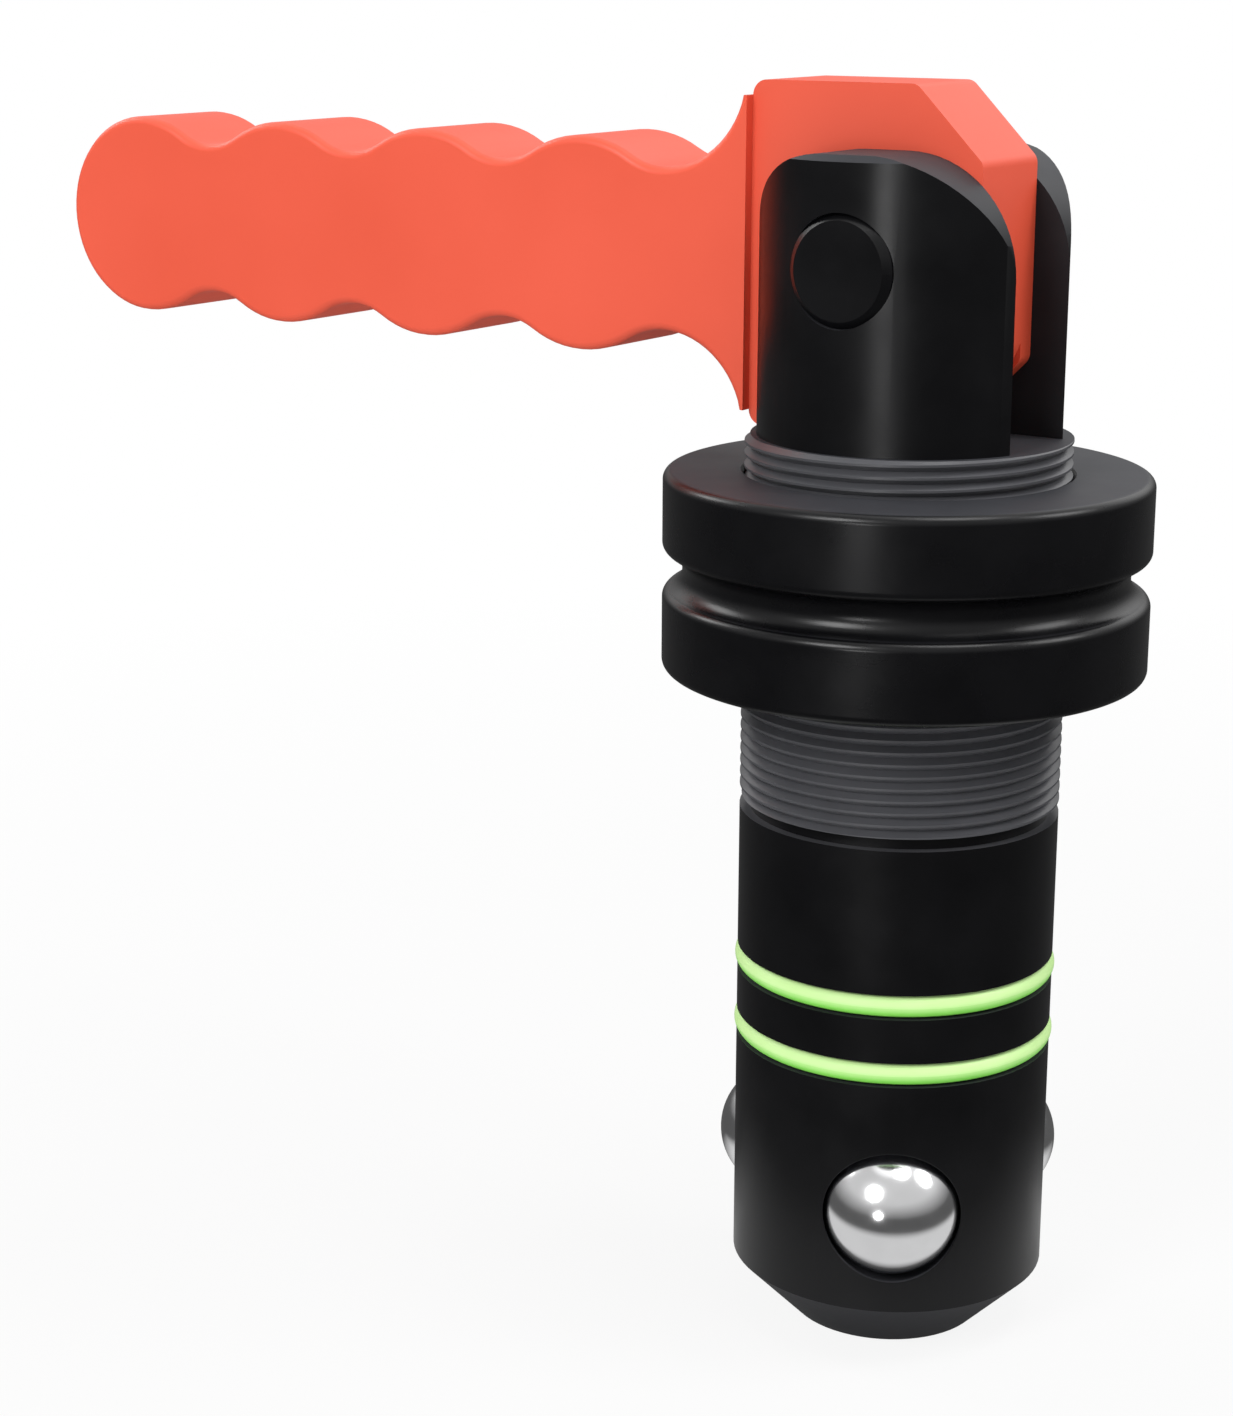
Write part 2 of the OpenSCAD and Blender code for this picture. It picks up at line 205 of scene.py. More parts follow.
def radius_of(point):
    """Distance of a point from the bolt's axis."""
    return math.hypot(point.x, point.y)


bolt = copy_of_node("bolt_body")
ring_faces = []
for face in bolt.faces:
    heights = [v.co.z for v in face.verts]
    outside = all(radius_of(v.co) > RING_INSIDE_R for v in face.verts)
    in_zone = min(heights) > THREAD_LOW - TINY and max(heights) < THREAD_HIGH + TINY
    on_top = min(heights) > THREAD_HIGH - TINY
    if outside and in_zone and not on_top:
        ring_faces.append(face)
bmesh.ops.delete(bolt, geom=ring_faces, context="FACES")
for vert in bolt.verts:
    at_top = abs(vert.co.z - THREAD_HIGH) < TINY
    if at_top and radius_of(vert.co) > THREAD_R - RIM_SLACK:
        vert.co.xy *= CORE_R / radius_of(vert.co)
print("ring faces taken out:", len(ring_faces))

# %% [markdown]
# ## Bolt body: edges of the ball holes
# A drilled hole has its edge broken, so that it doesn't cut hands or rubber. On a dark bolt this
# thin bevel is what shows the hole. The bevel operator rolls it along the edges that lie on the
# shank's wall at the height of the balls.

# %% Break the edges of the ball holes
BALL_Z = 14.2 * MM
HOLE_R = 5.95 * MM
HOLE_EDGE = 0.15 * MM
HOLE_SHARP = math.radians(20)

hole_edges = []
for edge in bolt.edges:
    on_wall = all(abs(radius_of(v.co) - THREAD_R) < TINY for v in edge.verts)
    beside_ball = all(abs(v.co.z - BALL_Z) < HOLE_R + TINY for v in edge.verts)
    if on_wall and beside_ball and edge.calc_face_angle(0) > HOLE_SHARP:
        hole_edges.append(edge)
bmesh.ops.bevel(
    bolt, geom=hole_edges, offset=HOLE_EDGE, offset_type="OFFSET", segments=2,
    profile=0.5, affect="EDGES", material=-1, clamp_overlap=False)
print("edges broken at the ball holes:", len(hole_edges))

# %% [markdown]
# ## Bolt body: the thread
# A die cuts the thread while it winds up the bar. Here one turn is wound: the spin operator carries
# a short row of points, one V groove with its crest, once round the axis and lifts it by the pitch
# on the way. Copies of that turn are stacked, and both ends are cut level. To spin all turns at once
# would give the same shape, but small errors of the many steps would add up.

# %% Wind one turn
PITCH = 1.05 * MM
CREST = 0.2 * MM
STEPS_PER_TURN = 90
SPARE_TURNS = 3
TURNS_OVER_TOP = 2
TOP_CREST_TURN = 28 / 360
turns = math.ceil((THREAD_HIGH - THREAD_LOW) / PITCH) + SPARE_TURNS
flank = (PITCH - CREST) / 2
start_z = THREAD_HIGH - flank - CREST - (turns - TURNS_OVER_TOP + TOP_CREST_TURN) * PITCH


def profile_row(bm, points, closed=False):
    """Draws a row of edges through points given as distance from the axis and height."""
    row = [bm.verts.new((r, 0, z)) for r, z in points]
    ends = row[1:] + row[:1] if closed else row[1:]
    return row + [bm.edges.new(pair) for pair in zip(row, ends)]


groove = [(ROOT_R, start_z), (THREAD_R, start_z + flank),
          (THREAD_R, start_z + flank + CREST), (ROOT_R, start_z + PITCH)]
helix = bmesh.new()
bmesh.ops.spin(
    helix, geom=profile_row(helix, groove), cent=(0, 0, 0), axis=(0, 0, 1),
    dvec=(0, 0, PITCH / STEPS_PER_TURN), angle=2 * math.pi, steps=STEPS_PER_TURN,
    use_merge=False, use_duplicate=False)
print("faces of one turn:", len(helix.faces))

# %% Stack the turns and cut the ends level
CUT_DIST = TINY / 20
THREAD_PAINTED_LIGHT = 1

one_turn = helix.verts[:] + helix.edges[:] + helix.faces[:]
for turn in range(1, turns):
    copied = bmesh.ops.duplicate(helix, geom=one_turn)["geom"]
    copied_verts = [item for item in copied if isinstance(item, bmesh.types.BMVert)]
    bmesh.ops.translate(helix, verts=copied_verts, vec=(0, 0, turn * PITCH))
bmesh.ops.remove_doubles(helix, verts=helix.verts, dist=TINY)
for height, low_end in ((THREAD_LOW, True), (THREAD_HIGH, False)):
    bmesh.ops.bisect_plane(
        helix, geom=helix.verts[:] + helix.edges[:] + helix.faces[:], dist=CUT_DIST,
        plane_co=(0, 0, height), plane_no=(0, 0, 1), clear_inner=low_end, clear_outer=not low_end)
# The thread's finish has a paler tone that is painted light, where the nut shades it.
for face in helix.faces:
    face.material_index = THREAD_PAINTED_LIGHT
print("turns of thread:", round((THREAD_HIGH - THREAD_LOW) / PITCH, 1), "faces:", len(helix.faces))

# %% [markdown]
# ## Bolt body: thread and bar become one
# The thread's ends are loops with many points at uneven angles, and the bar's are plain circles.
# bridge_loops would pair their points by count and twist the flat ring between them, so a small
# helper walks round both loops by angle and fills the ring with triangles. Before that, the faces
# with a finish of their own are marked: the shoulder below the thread takes the thread's finish,
# whose paler tone is painted light in the nut's shade, and the walls of the slot are milled.

# %% Join thread and bar
SHOULDER_Z = 47.5 * MM
SLOT_HALF_W = 5.0 * MM
SLOT_FINISH = 2


def angle_of(vert):
    """The angle round the bolt's axis at which a vertex lies."""
    return math.atan2(vert.co.y, vert.co.x)


def stitch(bm, first, second):
    """Fills the flat ring between two closed loops round the axis with triangles."""
    loops = [sorted(loop, key=angle_of) for loop in (first, second)]
    angles = [[angle_of(v) for v in loop] + [angle_of(loop[0]) + 2 * math.pi] for loop in loops]
    first, second = loops
    i = j = 0
    while i < len(first) or j < len(second):
        here, there = first[i % len(first)], second[j % len(second)]
        if j == len(second) or (i < len(first) and angles[0][i + 1] <= angles[1][j + 1]):
            i += 1
            bm.faces.new((here, first[i % len(first)], there))
        else:
            j += 1
            bm.faces.new((here, second[j % len(second)], there))


helix_mesh = bpy.data.meshes.new("helix")
helix.to_mesh(helix_mesh)
helix.free()
bolt.from_mesh(helix_mesh)
bpy.data.meshes.remove(helix_mesh)
for face in bolt.faces:
    if all(abs(vert.co.z - SHOULDER_Z) < TINY for vert in face.verts):
        face.material_index = THREAD_PAINTED_LIGHT
    elif all(abs(abs(vert.co.y) - SLOT_HALF_W) < TINY for vert in face.verts):
        face.material_index = SLOT_FINISH
between_r = (CORE_R + ROOT_R) / 2
for height in (THREAD_LOW, THREAD_HIGH):
    open_verts = {vert for edge in bolt.edges if edge.is_boundary for vert in edge.verts}
    rim = [vert for vert in open_verts if abs(vert.co.z - height) < TINY]
    inner = [vert for vert in rim if radius_of(vert.co) < between_r]
    outer = [vert for vert in rim if radius_of(vert.co) > between_r]
    stitch(bolt, inner, outer)
print("open edges left on the bolt:", sum(not edge.is_manifold for edge in bolt.edges))
bolt_piece = new_piece(bolt, "bolt_body_threaded", "bolt", "black_steel", "bolt_body", exact=True)

# %% [markdown]
# ## Ring nut
# A lathe turns the nut from a bar: the tool follows one outline while the bar spins. The same
# outline, a closed row of points in distance from the axis and height, is spun round Z here. The
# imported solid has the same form, but its triangles are uneven on the small round edges and break up
# the highlight there. The edges and the two lips of the groove are arcs that touch their
# neighbours, so that the light runs over them without a line.

# %% Outline of the nut
NUT_BORE_R = 14.06 * MM
NUT_CHAMFER = 0.25 * MM
NUT_EDGE_R = 0.85 * MM
GROOVE_R = 1.75 * MM
LIP_R = 0.85 * MM
EDGE_STEPS = 8
LIP_STEPS = 7
GROOVE_STEPS = 24
nut_low, nut_high = (corner.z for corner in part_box("ring_nut"))
nut_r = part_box("ring_nut")[1].x
nut_middle = (nut_low + nut_high) / 2
lip_rise = math.sqrt((GROOVE_R + LIP_R) ** 2 - LIP_R ** 2)
lip_turn = math.degrees(math.atan2(lip_rise, LIP_R))


def arc(r, z, radius, start, end, steps):
    """Points on an arc about (r, z), from one angle in degrees to another."""
    angles = [math.radians(start + (end - start) * i / steps) for i in range(steps + 1)]
    return [(r + radius * math.cos(a), z + radius * math.sin(a)) for a in angles]


outline = [(NUT_BORE_R, nut_high - NUT_CHAMFER), (NUT_BORE_R, nut_low + NUT_CHAMFER),
           (NUT_BORE_R + NUT_CHAMFER, nut_low)]
outline += arc(nut_r - NUT_EDGE_R, nut_low + NUT_EDGE_R, NUT_EDGE_R, -90, 0, EDGE_STEPS)
outline += arc(nut_r - LIP_R, nut_middle - lip_rise, LIP_R, 0, lip_turn, LIP_STEPS)[:-1]
outline += arc(nut_r, nut_middle, GROOVE_R, 180 + lip_turn, 180 - lip_turn, GROOVE_STEPS)
outline += arc(nut_r - LIP_R, nut_middle + lip_rise, LIP_R, -lip_turn, 0, LIP_STEPS)[1:]
outline += arc(nut_r - NUT_EDGE_R, nut_high - NUT_EDGE_R, NUT_EDGE_R, 0, 90, EDGE_STEPS)
outline += [(NUT_BORE_R + NUT_CHAMFER, nut_high)]
print("points on the nut's outline:", len(outline))

# %% Turn the nut
NUT_STEPS = 180
nut = bmesh.new()
bmesh.ops.spin(
    nut, geom=profile_row(nut, outline, closed=True), cent=(0, 0, 0), axis=(0, 0, 1), dvec=(0, 0, 0),
    angle=2 * math.pi, steps=NUT_STEPS, use_merge=True, use_duplicate=False)
print("open edges left on the nut:", sum(not edge.is_manifold for edge in nut.edges))
nut_piece = new_piece(nut, "ring_nut_turned", "nut", "black_steel", "ring_nut")

# %% [markdown]
# ## Lever
# The lever is a powder-coated casting. A casting has no sharp edges: the long edges of the grip
# are rounded, so that a hand can pull on it. The bevel operator rolls over those edges of a copy
# of the solid. A Bevel modifier would take every sharp edge, also those of the head, which stay
# crisp because they are machined to fit the fork.

# %% Round the grip's edges
GRIP_HALF_T = 6.0 * MM
STEP_X = -13.0 * MM
FLAT_REACH = 13.3 * MM
PIVOT_Z = 95.4489 * MM
GRIP_EDGE_R = 0.75 * MM
GRIP_SHARP = math.radians(40)
LEVER_MERGE = 0.012 * MM
NEAR = 0.02 * MM

lever = copy_of_node("lever", merge=LEVER_MERGE)
grip_edges = []
for edge in lever.edges:
    on_face = all(abs(abs(v.co.y) - GRIP_HALF_T) < TINY for v in edge.verts)
    at_step = all(abs(v.co.x - STEP_X) < NEAR for v in edge.verts)
    on_flat = all(abs(abs(v.co.z - PIVOT_Z) - FLAT_REACH) < NEAR for v in edge.verts)
    if on_face and not at_step and not on_flat and edge.calc_face_angle(0) > GRIP_SHARP:
        grip_edges.append(edge)
bmesh.ops.bevel(
    lever, geom=grip_edges, offset=GRIP_EDGE_R, offset_type="OFFSET", segments=4,
    profile=0.5, affect="EDGES", material=-1, clamp_overlap=False)
print("rounded edges of the grip:", len(grip_edges))
lever_piece = new_piece(lever, "lever_cast", "lever_arm", "lever_coat", "lever", exact=True)

# %% [markdown]
# ## Return spring
# The spring sits between the plug and the rod's cone and lifts the rod when the lever goes up. Its
# wire is a small circle, spun up a helix; a curve with a round bevel would do it too. When the rod
# rises the coil has to stretch.

# %% Wind the spring
WIRE_R = 0.3 * MM
WIRE_SIDES = 14
COIL_TURNS = 6
COIL_STEPS = 36
coil_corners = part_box("return_spring")
coil_low, coil_high = (corner.z for corner in coil_corners)
coil_r = (coil_corners[1].y - coil_corners[0].y) / 2 - WIRE_R
coil_rise = coil_high - coil_low - 2 * WIRE_R

coil = bmesh.new()
wire_end = bmesh.ops.create_circle(coil, segments=WIRE_SIDES, radius=WIRE_R, cap_ends=True)["verts"]
to_start = Matrix.Translation((coil_r, 0, coil_low + WIRE_R)) @ Matrix.Rotation(math.pi / 2, 4, "X")
bmesh.ops.transform(coil, matrix=to_start, verts=wire_end)
bmesh.ops.spin(
    coil, geom=coil.faces[:], cent=(0, 0, 0), axis=(0, 0, 1),
    dvec=(0, 0, coil_rise / (COIL_TURNS * COIL_STEPS)), angle=COIL_TURNS * 2 * math.pi,
    steps=COIL_TURNS * COIL_STEPS, use_merge=False, use_duplicate=False)
spring_piece = new_piece(coil, "return_spring_coil", None, "spring_steel", "return_spring")
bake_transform(spring_piece)

# %% [markdown]
# ## Helpers for materials
# Every finish is one Principled shader with procedural detail, so that it needs no picture files
# and stays sharp from near. These helpers save repeating the steps of adding a node, setting its
# values and linking it.

# %% Nodes and finishes
def node(tree, kind, place, **values):
    """Adds a node and sets its properties or, for names that are sockets, its inputs."""
    made = tree.nodes.new(kind)
    made.location = place
    for key, value in values.items():
        if hasattr(made, key):
            setattr(made, key, value)
        else:
            made.inputs[key.replace("_", " ")].default_value = value
    return made


def new_finish(name, **sockets):
    """A material with a Principled shader whose constant sockets are set by name."""
    material = bpy.data.materials.new(name)
    material.use_nodes = True
    tree = material.node_tree
    shader = tree.nodes["Principled BSDF"]
    for key, value in sockets.items():
        shader.inputs[key.replace("_", " ")].default_value = value
    print("finish:", name)
    return material, tree, shader


# %% [markdown]
# ## Where a place lies
# A pattern needs a place to read. Object coordinates stay with the piece when it moves. Marks left
# by a lathe run round the axis, so they depend only on the distance from the axis and on the
# height: a noise that reads those two numbers draws rings on walls and circles on faces. The third
# helper tells tops from walls and undersides.

# %% Places on a piece
def object_place(tree, centre=(0, 0, 0), turn=(0, 0, 0)):
    """Object coordinates, moved to a centre and turned so that an axis lies along Z."""
    coords = node(tree, "ShaderNodeTexCoord", (-1500, 0))
    moved = node(tree, "ShaderNodeVectorMath", (-1320, 0), operation="SUBTRACT")
    moved.inputs[1].default_value = centre
    turned = node(tree, "ShaderNodeVectorRotate", (-1140, 0), rotation_type="EULER_XYZ")
    turned.inputs["Rotation"].default_value = turn
    tree.links.new(coords.outputs["Object"], moved.inputs[0])
    tree.links.new(moved.outputs[0], turned.inputs["Vector"])
    return turned.outputs[0]


def lathe_place(tree, place):
    """The distance from the Z axis and the height, as a vector."""
    parts = node(tree, "ShaderNodeSeparateXYZ", (-960, 120))
    flat = node(tree, "ShaderNodeCombineXYZ", (-800, 200))
    distance = node(tree, "ShaderNodeVectorMath", (-640, 200), operation="LENGTH")
    both = node(tree, "ShaderNodeCombineXYZ", (-480, 120))
    tree.links.new(place, parts.inputs[0])
    tree.links.new(parts.outputs["X"], flat.inputs["X"])
    tree.links.new(parts.outputs["Y"], flat.inputs["Y"])
    tree.links.new(flat.outputs[0], distance.inputs[0])
    tree.links.new(distance.outputs["Value"], both.inputs["X"])
    tree.links.new(parts.outputs["Z"], both.inputs["Y"])
    return both.outputs[0]


def uprightness(tree, spot):
    """How far the surface faces up: 1 on tops, 0 on walls and -1 on undersides."""
    coords = node(tree, "ShaderNodeTexCoord", (spot[0] - 360, spot[1]))
    parts = node(tree, "ShaderNodeSeparateXYZ", (spot[0] - 180, spot[1]))
    tree.links.new(coords.outputs["Normal"], parts.inputs[0])
    return parts.outputs["Z"]


# %% [markdown]
# ## Noise, tones and bumps
# No real surface has one even colour. A soft noise moves the colour and the roughness between two
# values, and a fine noise raises and lowers the surface by a few thousandths of a millimetre. A
# noise keeps near its middle, so its values from 0.3 to 0.7 are spread over the whole span.

# %% Patterns
NOISE_SPAN = 0.3, 0.7
MIX_SHARE, MIX_FIRST, MIX_SECOND, MIX_RESULT = 0, 6, 7, 2


def noise(tree, vector, scale, spot, detail=2.0, roughness=0.5):
    """A noise of the given scale in cycles per metre."""
    made = node(tree, "ShaderNodeTexNoise", spot, Scale=scale, Detail=detail, Roughness=roughness)
    tree.links.new(vector, made.inputs["Vector"])
    return made.outputs["Fac"]


def span(tree, value, spot, low_in, high_in, low_out, high_out):
    """Maps a number from one span to another and stops at both ends."""
    made = node(tree, "ShaderNodeMapRange", spot, From_Min=low_in, From_Max=high_in,
                To_Min=low_out, To_Max=high_out)
    tree.links.new(value, made.inputs["Value"])
    return made.outputs["Result"]


def ramp_value(tree, pattern, low, high, socket, spot):
    """Drives a number socket from low to high with a noise."""
    tree.links.new(span(tree, pattern, spot, *NOISE_SPAN, low, high), socket)


def ramp_color(tree, pattern, low, high, socket, spot):
    """Drives a colour socket from low to high with a noise."""
    ramp = node(tree, "ShaderNodeValToRGB", spot)
    for stop, position, color in zip(ramp.color_ramp.elements, NOISE_SPAN, (low, high)):
        stop.position = position
        stop.color = (*color, 1)
    tree.links.new(pattern, ramp.inputs[0])
    tree.links.new(ramp.outputs["Color"], socket)


def two_tone(tree, shader, share, pattern, plain, pale):
    """A base colour that goes from a plain pair of tones to a pale pair with a share of 0 to 1."""
    blend = node(tree, "ShaderNodeMix", (-60, 300), data_type="RGBA")
    tree.links.new(share, blend.inputs[MIX_SHARE])
    ramp_color(tree, pattern, *plain, blend.inputs[MIX_FIRST], (-500, 500))
    ramp_color(tree, pattern, *pale, blend.inputs[MIX_SECOND], (-500, 250))
    tree.links.new(blend.outputs[MIX_RESULT], shader.inputs["Base Color"])


def bump(tree, shader, pattern, strength, depth):
    """Roughens the surface by a height pattern of a real depth in metres."""
    made = node(tree, "ShaderNodeBump", (-250, -400), Strength=strength, Distance=depth)
    tree.links.new(pattern, made.inputs["Height"])
    tree.links.new(made.outputs["Normal"], shader.inputs["Normal"])


# %% [markdown]
# ## Black steel
# Bolt, nut, pin and plug are turned steel with a black oxide skin: nearly black, satin, a little
# cloudy, with fine rings from the lathe. Places that face up are painted paler than the walls, as
# painted light from above, and undersides a little less, as painted light from below; they are also
# rougher. So the finish asks how far a place faces up or down. One function makes all variants: the
# nut is a little smoother, the thread is glossier and painted paler as light in the nut's shade, the
# slot is milled and dull, and the pin's rings run round its own axis.

# %% Black oxide
WALL_BLACK = (0.0022, 0.0022, 0.0028), (0.0036, 0.0036, 0.0044)
# Painted light: tops, and undersides a little less, are painted this paler grey instead of the black.
PAINTED_LIGHT_GREY = (0.030, 0.031, 0.036), (0.037, 0.038, 0.044)
FACE_ROUGHER = 0.25
UNDERSIDE_PAINTED_LIGHT = 0.7


def painted_light_share(tree, spot, low, high):
    """Share of painted light by how far a place faces up: 0 on walls, 1 on tops, less on undersides."""
    up = uprightness(tree, (spot[0] - 340, spot[1]))
    tops = span(tree, up, (spot[0] - 340, spot[1]), low, high, 0.0, 1.0)
    unders = span(tree, up, (spot[0] - 340, spot[1] - 280), -low, -high, 0.0, UNDERSIDE_PAINTED_LIGHT)
    share = node(tree, "ShaderNodeMath", (spot[0] - 160, spot[1]), operation="MAXIMUM")
    tree.links.new(tops, share.inputs[0])
    tree.links.new(unders, share.inputs[1])
    return share.outputs[0]


def black_oxide(name, rough, centre=(0, 0, 0), turn=(0, 0, 0), pale=None, tones=WALL_BLACK, gloss=0.28):
    """Satin black steel with lathe marks round an axis, with tops and undersides painted paler as light
    when pale is given.
    """
    material, tree, shader = new_finish(name, Specular_IOR_Level=gloss)
    place = object_place(tree, centre, turn)
    clouds = noise(tree, place, 160, (-250, 350), detail=4)
    marks = noise(tree, lathe_place(tree, place), 9000, (-480, -350), detail=3, roughness=0.6)
    # Painted light: with pale given, places that face up or down are painted paler.
    if pale:
        share = painted_light_share(tree, (-250, 700), *pale)
        two_tone(tree, shader, share, clouds, tones, PAINTED_LIGHT_GREY)
        duller = node(tree, "ShaderNodeMath", (-60, -150), operation="MULTIPLY_ADD")
        duller.inputs[1].default_value = FACE_ROUGHER
        tree.links.new(share, duller.inputs[0])
        ramp_value(tree, clouds, *rough, duller.inputs[2], (-250, -150))
        tree.links.new(duller.outputs[0], shader.inputs["Roughness"])
    else:
        ramp_color(tree, clouds, *tones, shader.inputs["Base Color"], (-250, 150))
        ramp_value(tree, clouds, *rough, shader.inputs["Roughness"], (-250, -150))
    bump(tree, shader, marks, strength=0.35, depth=0.012 * MM)
    return material


# %% The black finishes
# Painted light: the thread and the shoulder below it are painted this paler grey, as light in the nut's
# shade.
FLANK_PAINTED_LIGHT_GREY = (0.066, 0.067, 0.074), (0.077, 0.078, 0.086)
SLOT_GREY = (0.018, 0.018, 0.020), (0.022, 0.022, 0.024)
PIVOT = (0, 0, PIVOT_Z)
Y_AXIS_UP = (math.pi / 2, 0, 0)

black_turned = black_oxide("black_oxide_turned", (0.28, 0.36), pale=(0.15, 0.8))
black_nut = black_oxide("black_oxide_nut", (0.24, 0.32), pale=(0.9, 0.98))
black_pin = black_oxide("black_oxide_pin", (0.28, 0.36), PIVOT, Y_AXIS_UP)
black_thread = black_oxide("black_oxide_thread", (0.32, 0.40), tones=FLANK_PAINTED_LIGHT_GREY, gloss=0.5)
black_slot = black_oxide("black_oxide_slot", (0.55, 0.65), tones=SLOT_GREY, gloss=0.05)

# %% [markdown]
# ## Lever coat
# Powder coat is a thick even paint that is baked on. It has one strong colour and a faint
# orange-peel skin. A noise of about a millimetre as a bump gives that skin; a rougher paint would
# hide it and a glossier one would mirror the lamps.

# %% Orange-red powder coat
COAT_RED = (0.79, 0.092, 0.043), (0.84, 0.102, 0.050)
coat, tree, shader = new_finish("orange_red_powder_coat", Specular_IOR_Level=0.5)
place = object_place(tree)
clouds = noise(tree, place, 45, (-480, 350), detail=3)
peel = noise(tree, place, 1100, (-480, -350), detail=2)
ramp_color(tree, clouds, *COAT_RED, shader.inputs["Base Color"], (-250, 150))
ramp_value(tree, clouds, 0.40, 0.48, shader.inputs["Roughness"], (-250, -150))
bump(tree, shader, peel, strength=0.25, depth=0.02 * MM)

# %% [markdown]
# ## Green rubber
# The two rings are soft light-green rubber. Their upper side is painted paler and their lower side a
# deeper green, as painted light from above: two tones follow the way the surface faces, not where the
# lamps are. Subsurface scattering would make the lit side milky, but it is slow and noisy on so thin a
# ring.

# %% Green rubber
PAINTED_LIT_GREEN = (0.60, 0.91, 0.36), (0.64, 0.93, 0.40)
LOWER_GREEN = (0.23, 0.75, 0.09), (0.27, 0.78, 0.11)
PAINTED_LIGHT_SPAN = -0.5, 0.2
rubber, tree, shader = new_finish("light_green_rubber", Specular_IOR_Level=0.35)
place = object_place(tree)
clouds = noise(tree, place, 300, (-480, 350), detail=3)
grain = noise(tree, place, 6000, (-480, -350), detail=2)
# Painted light: the upper side is painted paler, the lower side a deeper green.
upper = span(tree, uprightness(tree, (-500, 800)), (-300, 700), *PAINTED_LIGHT_SPAN, 0.0, 1.0)
two_tone(tree, shader, upper, clouds, LOWER_GREEN, PAINTED_LIT_GREEN)
ramp_value(tree, grain, 0.42, 0.55, shader.inputs["Roughness"], (-250, -150))
bump(tree, shader, grain, strength=0.2, depth=0.01 * MM)

# %% [markdown]
# ## Ball steel
# The balls are polished bearing steel. A perfect mirror would look like chrome in a drawing, so a
# faint haze of handling moves the roughness, and the finest of scuffs break the reflections.

# %% Polished ball steel
BALL_BRIGHT = (0.82, 0.82, 0.83), (0.88, 0.88, 0.89)
polished, tree, shader = new_finish("polished_ball_steel", Metallic=1.0)
place = object_place(tree)
haze = noise(tree, place, 350, (-480, 350), detail=4)
scuffs = noise(tree, place, 9000, (-480, -350), detail=2)
ramp_color(tree, haze, *BALL_BRIGHT, shader.inputs["Base Color"], (-250, 150))
ramp_value(tree, haze, 0.13, 0.19, shader.inputs["Roughness"], (-250, -150))
bump(tree, shader, scuffs, strength=0.03, depth=0.002 * MM)

# %% [markdown]
# ## Bare steel
# Rod and spring are inside and have no coat. The rod is ground and the wire is drawn, so both have
# fine rings round the axis, which the lathe marks of the black steel show how to make. The wire is
# the darker and rougher one.

# %% Bare steel
ROD_GREY = (0.50, 0.50, 0.51), (0.58, 0.58, 0.60)
WIRE_GREY = (0.38, 0.38, 0.40), (0.46, 0.46, 0.48)
ROUGH_REACH = 0.06


def bare_steel(name, tones, rough):
    """Ground or drawn steel with fine rings round the bolt's axis."""
    material, tree, shader = new_finish(name, Metallic=1.0)
    place = object_place(tree)
    clouds = noise(tree, place, 200, (-250, 350), detail=3)
    marks = noise(tree, lathe_place(tree, place), 14000, (-480, -350), detail=3)
    ramp_color(tree, clouds, *tones, shader.inputs["Base Color"], (-250, 150))
    ramp_value(tree, marks, rough - ROUGH_REACH, rough + ROUGH_REACH,
               shader.inputs["Roughness"], (-250, -150))
    bump(tree, shader, marks, strength=0.2, depth=0.006 * MM)
    return material


ground_steel = bare_steel("ground_rod_steel", ROD_GREY, 0.28)
wire_steel = bare_steel("drawn_spring_wire", WIRE_GREY, 0.34)

# %% [markdown]
# ## Each piece gets its finish
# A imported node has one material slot, whose material is exchanged. The new pieces start without
# one. The bolt has three, in the order of the numbers that its faces carry: the turned bar, the
# thread and the slot.

# %% Give each piece its finish
NODE_FINISHES = {
    "end_plug": black_turned, "pivot_pin": black_pin,
    "push_rod": ground_steel, "upper_seal": rubber, "lower_seal": rubber,
    "front_ball": polished, "right_ball": polished, "left_ball": polished,
}
PIECE_FINISHES = (
    (bolt_piece, black_turned), (bolt_piece, black_thread), (bolt_piece, black_slot),
    (nut_piece, black_nut), (lever_piece, coat), (spring_piece, wire_steel),
)
for name, material in NODE_FINISHES.items():
    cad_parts[name].material_slots[0].material = material
for piece, material in PIECE_FINISHES:
    piece.data.materials.append(material)
print("finished pieces:", len(NODE_FINISHES) + len({piece.name for piece, _ in PIECE_FINISHES}))

# %% [markdown]
# ## World
# The photograph has a white background and soft light from all around. A white world alone would
# light everything flat and turn black steel grey, so the world answers in three ways. The camera
# sees plain white. Plain light is a soft grey that is stronger from the right. Shiny surfaces see a
# sky that grows brighter upwards, with three soft round spots like studio lamps.

# %% Different answers for different rays
FLOAT_SHARE, FLOAT_FIRST, FLOAT_SECOND = 0, 2, 3


def by_ray(tree, seen, mirrored, plain):
    """A number that differs for the camera, for reflections and for plain light."""
    rays = node(tree, "ShaderNodeLightPath", (-900, 300))
    shiny = node(tree, "ShaderNodeMath", (-700, 200), operation="MAXIMUM")
    first = node(tree, "ShaderNodeMix", (-500, 100), data_type="FLOAT")
    second = node(tree, "ShaderNodeMix", (-300, 100), data_type="FLOAT")
    tree.links.new(rays.outputs["Is Glossy Ray"], shiny.inputs[0])
    tree.links.new(rays.outputs["Is Transmission Ray"], shiny.inputs[1])
    tree.links.new(shiny.outputs[0], first.inputs[FLOAT_SHARE])
    tree.links.new(rays.outputs["Is Camera Ray"], second.inputs[FLOAT_SHARE])
    tree.links.new(first.outputs[0], second.inputs[FLOAT_FIRST])
    answers = (
        (plain, first.inputs[FLOAT_FIRST]), (mirrored, first.inputs[FLOAT_SECOND]),
        (seen, second.inputs[FLOAT_SECOND]))
    for value, socket in answers:
        if isinstance(value, float):
            socket.default_value = value
        else:
            tree.links.new(value, socket)
    return second.outputs[0]


